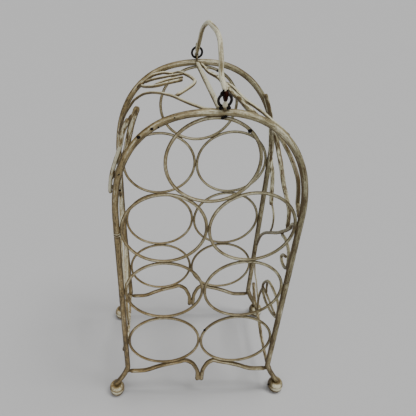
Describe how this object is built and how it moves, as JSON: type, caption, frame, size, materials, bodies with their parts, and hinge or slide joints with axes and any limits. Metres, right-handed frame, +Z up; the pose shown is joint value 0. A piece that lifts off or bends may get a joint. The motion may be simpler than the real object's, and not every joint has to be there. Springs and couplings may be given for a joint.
{
  "type": "wine rack",
  "caption": "Free-standing wrought iron wine rack: arched panels of bottle rings, joined by forged vines and leaves, on ball feet, with a swinging bail handle.",
  "frame": {"origin": "centre of the bounding box at the floor, between the four feet", "axes": "+Z up, -Y towards the front panel, +X to the right seen from the front"},
  "size_m": [0.2692, 0.172, 0.5278],
  "materials": {
    "cream_paint": "antique cream paint, rubbed, with brown in the hollows",
    "bark_paint": "antique cream paint over forged bark texture",
    "black_wire": "bare blackened wire"
  },
  "bodies": {
    "rack": {"front_frame": "cream_paint", "back_frame": "cream_paint", "foot_front_left": "cream_paint", "foot_front_right": "cream_paint", "foot_back_left": "cream_paint", "foot_back_right": "cream_paint", "ring_front_bottom_left": "cream_paint", "ring_front_bottom_right": "cream_paint", "ring_front_middle_left": "cream_paint", "ring_front_middle_right": "cream_paint", "ring_front_upper_left": "cream_paint", "ring_front_upper_right": "cream_paint", "ring_back_bottom_left": "cream_paint", "ring_back_bottom_right": "cream_paint", "ring_back_middle_left": "cream_paint", "ring_back_middle_right": "cream_paint", "ring_back_upper_left": "cream_paint", "ring_back_upper_right": "cream_paint", "ring_front_top": "cream_paint", "ring_back_top": "cream_paint", "rail_front_left": "cream_paint", "rail_front_right": "cream_paint", "rail_back_left": "cream_paint", "rail_back_right": "cream_paint", "right_tendril": "cream_paint", "right_vine": "bark_paint", "right_curl": "cream_paint", "right_low_twig": "bark_paint", "right_leaf_rim": "cream_paint", "right_leaf_midrib": "cream_paint", "right_leaf_vein": "cream_paint", "right_leaf_stem": "cream_paint", "left_tendril": "cream_paint", "left_vine": "bark_paint", "left_curl": "cream_paint", "left_low_twig": "bark_paint", "left_leaf_rim": "cream_paint", "left_leaf_midrib": "cream_paint", "left_leaf_vein": "cream_paint", "left_leaf_stem": "cream_paint", "right_twig": "bark_paint", "right_shoulder_vine": "cream_paint", "right_twig_wire": "cream_paint", "right_thin_strand": "cream_paint", "ridge_bar": "cream_paint", "roof_twig": "cream_paint", "roof_bark_twig": "bark_paint", "roof_wire": "cream_paint", "roof_leaf_rim": "cream_paint", "roof_leaf_midrib": "cream_paint", "roof_leaf_lower": "cream_paint", "roof_leaf_vein": "cream_paint", "head_twig": "bark_paint", "head_prong": "bark_paint", "staple_front": "cream_paint", "staple_back": "cream_paint"},
    "link_front": {"link_front": "black_wire"},
    "link_back": {"link_back": "black_wire"},
    "handle": {"handle": "cream_paint"}
  },
  "joints": [
    {"name": "link_front_lean", "type": "hinge", "parent": "rack", "child": "link_front", "pos_m": [0.0068, -0.0745, 0.4695], "axis": [-0.0789, 0.9968, 0.012], "range_deg": [-15, 15]},
    {"name": "link_back_lean", "type": "hinge", "parent": "rack", "child": "link_back", "pos_m": [-0.005, 0.0745, 0.4713], "axis": [-0.0789, 0.9968, 0.012], "range_deg": [-15, 15]},
    {"name": "handle_fold", "type": "hinge", "parent": "link_front", "child": "handle", "pos_m": [0.0068, -0.0745, 0.47575], "axis": [-0.0789, 0.9968, 0.012], "range_deg": [-90, 90]}
  ],
  "couplings": [
    {"joint": "link_back_lean", "follows": "link_front_lean", "ratio": 1}
  ]
}
